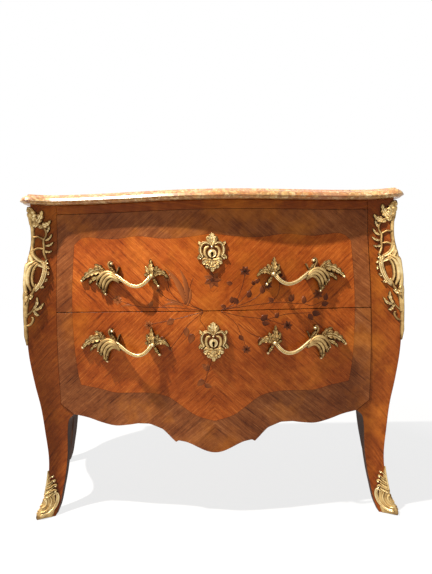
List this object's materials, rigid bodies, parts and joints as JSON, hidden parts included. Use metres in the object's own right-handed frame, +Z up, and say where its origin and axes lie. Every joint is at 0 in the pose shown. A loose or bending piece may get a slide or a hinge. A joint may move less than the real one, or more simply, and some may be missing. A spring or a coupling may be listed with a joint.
{
  "type": "commode chest",
  "caption": "Bombe commode chest with serpentine front, drawers on wooden runners, moulded marble top, cabriole legs and cast bronze handles, escutcheons and mounts.",
  "frame": {"origin": "centre of the footprint, at floor level", "axes": "+Z up, the drawers open towards -Y, +X is the viewer's right"},
  "size_m": [1.2188, 0.4782, 0.88],
  "materials": {
    "veneer": "polished",
    "stile_veneer": "polished",
    "oak": "matte",
    "pine": "matte",
    "marble": "polished",
    "bronze": "satin",
    "lock_brass": "satin"
  },
  "bodies": {
    "carcass": {"post_front_right": "stile_veneer", "post_front_left": "stile_veneer", "post_rear_right": "stile_veneer", "post_rear_left": "stile_veneer", "side_panel_right": "veneer", "side_panel_left": "veneer", "front_top_rail": "veneer", "divider_rail": "oak", "front_bottom_rail": "oak", "back_rail_top": "pine", "back_rail_middle": "pine", "back_rail_bottom": "pine", "back_panel_upper": "pine", "back_panel_lower": "pine", "runner_upper_right": "oak", "runner_upper_left": "oak", "runner_lower_right": "oak", "runner_lower_left": "oak", "kicker_right": "oak", "kicker_left": "oak", "dust_board": "pine", "bottom_board": "pine", "sub_top_board": "pine", "marble_top": "marble", "corner_mount_right": "bronze", "corner_mount_left": "bronze", "sabot_right": "bronze", "sabot_left": "bronze", "upper_lock_strike": "lock_brass", "lower_lock_strike": "lock_brass"},
    "upper_drawer": {"upper_drawer_front": "veneer", "upper_drawer_side_right": "oak", "upper_drawer_side_left": "oak", "upper_drawer_back": "oak", "upper_drawer_bottom": "pine", "upper_lock_case": "lock_brass", "upper_escutcheon": "bronze", "upper_handle_right": "bronze", "upper_handle_left": "bronze", "upper_nut_outer_right": "lock_brass", "upper_nut_outer_left": "lock_brass", "upper_nut_inner_right": "lock_brass", "upper_nut_inner_left": "lock_brass"},
    "lower_drawer": {"lower_drawer_front": "veneer", "lower_drawer_side_right": "oak", "lower_drawer_side_left": "oak", "lower_drawer_back": "oak", "lower_drawer_bottom": "pine", "lower_lock_case": "lock_brass", "lower_escutcheon": "bronze", "lower_handle_right": "bronze", "lower_handle_left": "bronze", "lower_nut_outer_right": "lock_brass", "lower_nut_outer_left": "lock_brass", "lower_nut_inner_right": "lock_brass", "lower_nut_inner_left": "lock_brass"},
    "upper_bolt": {"upper_lock_bolt": "lock_brass"},
    "lower_bolt": {"lower_lock_bolt": "lock_brass"}
  },
  "joints": [
    {"name": "upper_drawer_slide", "type": "slide", "parent": "carcass", "child": "upper_drawer", "axis": [0, -1, 0], "range_m": [0, 0.3]},
    {"name": "lower_drawer_slide", "type": "slide", "parent": "carcass", "child": "lower_drawer", "axis": [0, -1, 0], "range_m": [0, 0.3]},
    {"name": "upper_lock_bolt_slide", "type": "slide", "parent": "upper_drawer", "child": "upper_bolt", "axis": [0, 0, 1], "range_m": [0, 0.009]},
    {"name": "lower_lock_bolt_slide", "type": "slide", "parent": "lower_drawer", "child": "lower_bolt", "axis": [0, 0, 1], "range_m": [0, 0.009]}
  ]
}
